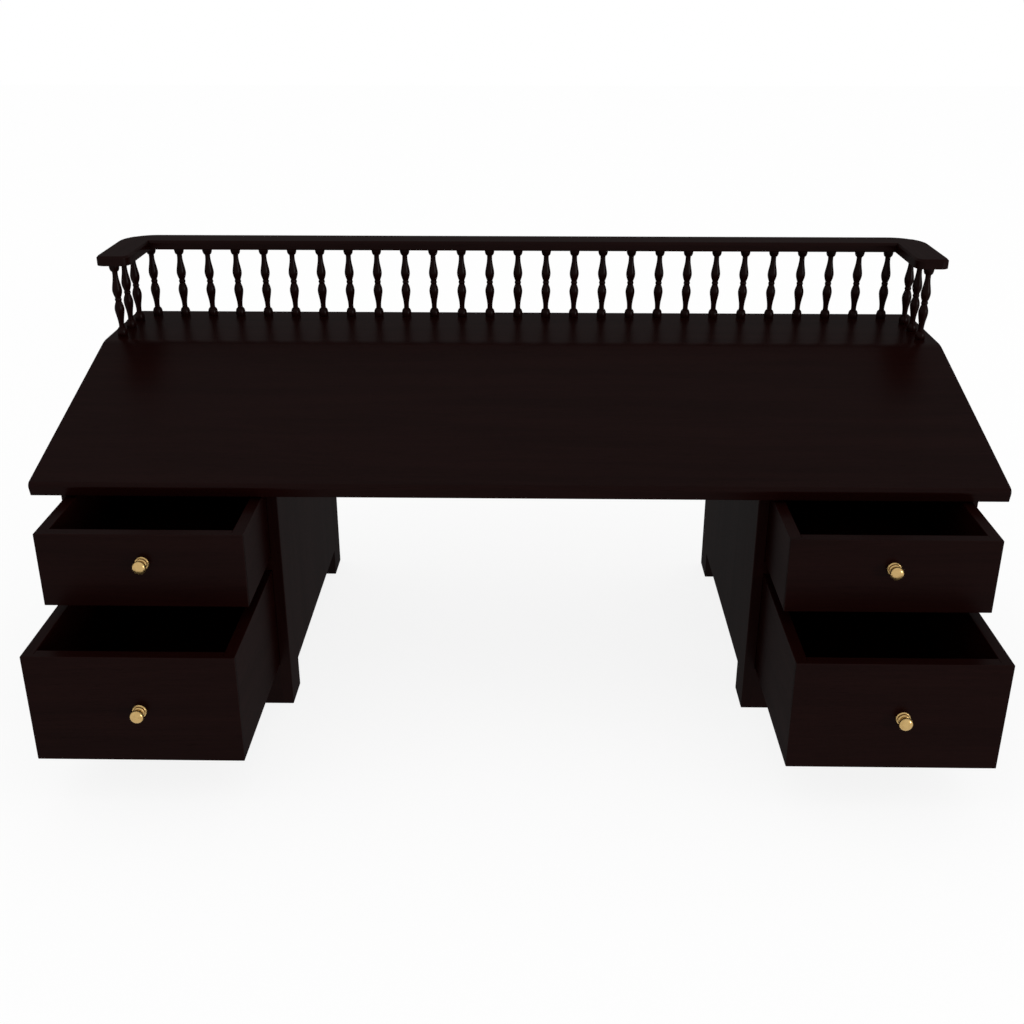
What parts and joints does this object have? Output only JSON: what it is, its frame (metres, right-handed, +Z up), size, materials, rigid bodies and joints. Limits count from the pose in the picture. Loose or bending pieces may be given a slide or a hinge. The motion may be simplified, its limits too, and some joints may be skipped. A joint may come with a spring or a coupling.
{
  "type": "low writing desk",
  "caption": "Low floor desk with a sloping writing top, a back shelf with a gallery of turned spindles, and footed pedestals with sliding drawers and brass knobs.",
  "frame": {"origin": "on the floor under the middle of the desk's box as it stands with its drawers open", "axes": "+X to the sitter's right along the width, +Y to the back where the gallery stands, +Z up"},
  "size_m": [1.204, 0.7042, 0.5375],
  "materials": {
    "stained_wood": "satin",
    "brass": "polished"
  },
  "bodies": {
    "desk": {"back_shelf": "stained_wood", "gallery_rail_back": "stained_wood", "gallery_rail_left": "stained_wood", "gallery_rail_right": "stained_wood", "gallery_spindles_back": "stained_wood", "gallery_spindles_left": "stained_wood", "gallery_spindles_right": "stained_wood", "left_back_panel": "stained_wood", "left_base_rail": "stained_wood", "left_bottom_board": "stained_wood", "left_drawer_divider": "stained_wood", "left_drawer_stops": "stained_wood", "left_foot_blocks": "stained_wood", "left_inner_side": "stained_wood", "left_outer_side": "stained_wood", "left_top_cleats": "stained_wood", "left_top_rail": "stained_wood", "rear_apron": "stained_wood", "right_back_panel": "stained_wood", "right_base_rail": "stained_wood", "right_bottom_board": "stained_wood", "right_drawer_divider": "stained_wood", "right_drawer_stops": "stained_wood", "right_foot_blocks": "stained_wood", "right_inner_side": "stained_wood", "right_outer_side": "stained_wood", "right_top_cleats": "stained_wood", "right_top_rail": "stained_wood", "writing_top": "stained_wood"},
    "left_upper_drawer": {"left_upper_drawer_back": "stained_wood", "left_upper_drawer_bottom": "stained_wood", "left_upper_drawer_front": "stained_wood", "left_upper_drawer_knob": "brass", "left_upper_drawer_side_left": "stained_wood", "left_upper_drawer_side_right": "stained_wood"},
    "left_lower_drawer": {"left_lower_drawer_back": "stained_wood", "left_lower_drawer_bottom": "stained_wood", "left_lower_drawer_front": "stained_wood", "left_lower_drawer_knob": "brass", "left_lower_drawer_side_left": "stained_wood", "left_lower_drawer_side_right": "stained_wood"},
    "right_upper_drawer": {"right_upper_drawer_back": "stained_wood", "right_upper_drawer_bottom": "stained_wood", "right_upper_drawer_front": "stained_wood", "right_upper_drawer_knob": "brass", "right_upper_drawer_side_left": "stained_wood", "right_upper_drawer_side_right": "stained_wood"},
    "right_lower_drawer": {"right_lower_drawer_back": "stained_wood", "right_lower_drawer_bottom": "stained_wood", "right_lower_drawer_front": "stained_wood", "right_lower_drawer_knob": "brass", "right_lower_drawer_side_left": "stained_wood", "right_lower_drawer_side_right": "stained_wood"}
  },
  "joints": [
    {"name": "left_upper_drawer_slide", "type": "slide", "parent": "desk", "child": "left_upper_drawer", "axis": [0, -1, 0], "range_m": [-0.1323, 0.1677]},
    {"name": "left_lower_drawer_slide", "type": "slide", "parent": "desk", "child": "left_lower_drawer", "axis": [0, -1, 0], "range_m": [-0.2198, 0.0802]},
    {"name": "right_upper_drawer_slide", "type": "slide", "parent": "desk", "child": "right_upper_drawer", "axis": [0, -1, 0], "range_m": [-0.1323, 0.1677]},
    {"name": "right_lower_drawer_slide", "type": "slide", "parent": "desk", "child": "right_lower_drawer", "axis": [0, -1, 0], "range_m": [-0.2198, 0.0802]}
  ]
}
